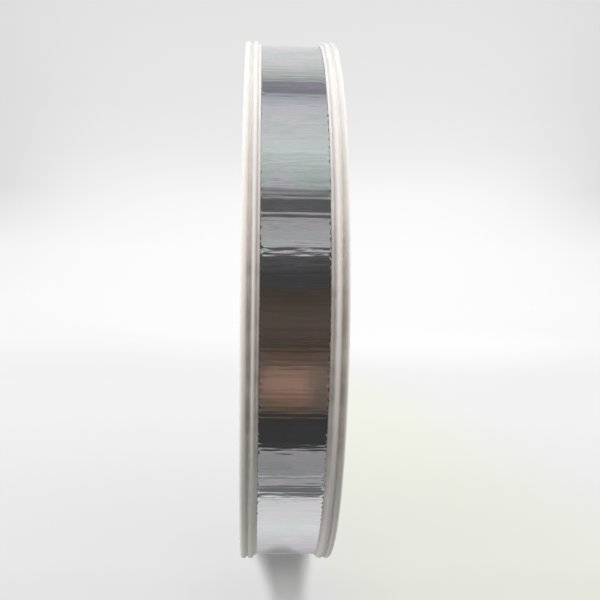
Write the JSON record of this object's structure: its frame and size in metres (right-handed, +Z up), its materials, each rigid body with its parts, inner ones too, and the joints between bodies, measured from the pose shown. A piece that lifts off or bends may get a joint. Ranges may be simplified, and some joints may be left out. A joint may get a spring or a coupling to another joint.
{
  "type": "aluminium strip coil on a spool",
  "caption": "Narrow coil of thin bright aluminium strip, wound level between the ridged flanges of a white plastic spool with an open central bore.",
  "frame": {"origin": "centre of the bore, midway between the two flanges", "axes": "+X along the spool's axis, +Z up with the spool standing on its two rims, and +Y away from the viewer who sees the wound strip edge-on"},
  "size_m": [0.033, 0.2, 0.2],
  "materials": {
    "white_plastic": "moulded, satin gloss",
    "aluminium_strip": "bright rolled, mirror-like, with fine ripples across the width"
  },
  "bodies": {
    "root": {"left_spool_half": "white_plastic", "right_spool_half": "white_plastic", "aluminium_coil": "aluminium_strip"}
  },
  "joints": []
}
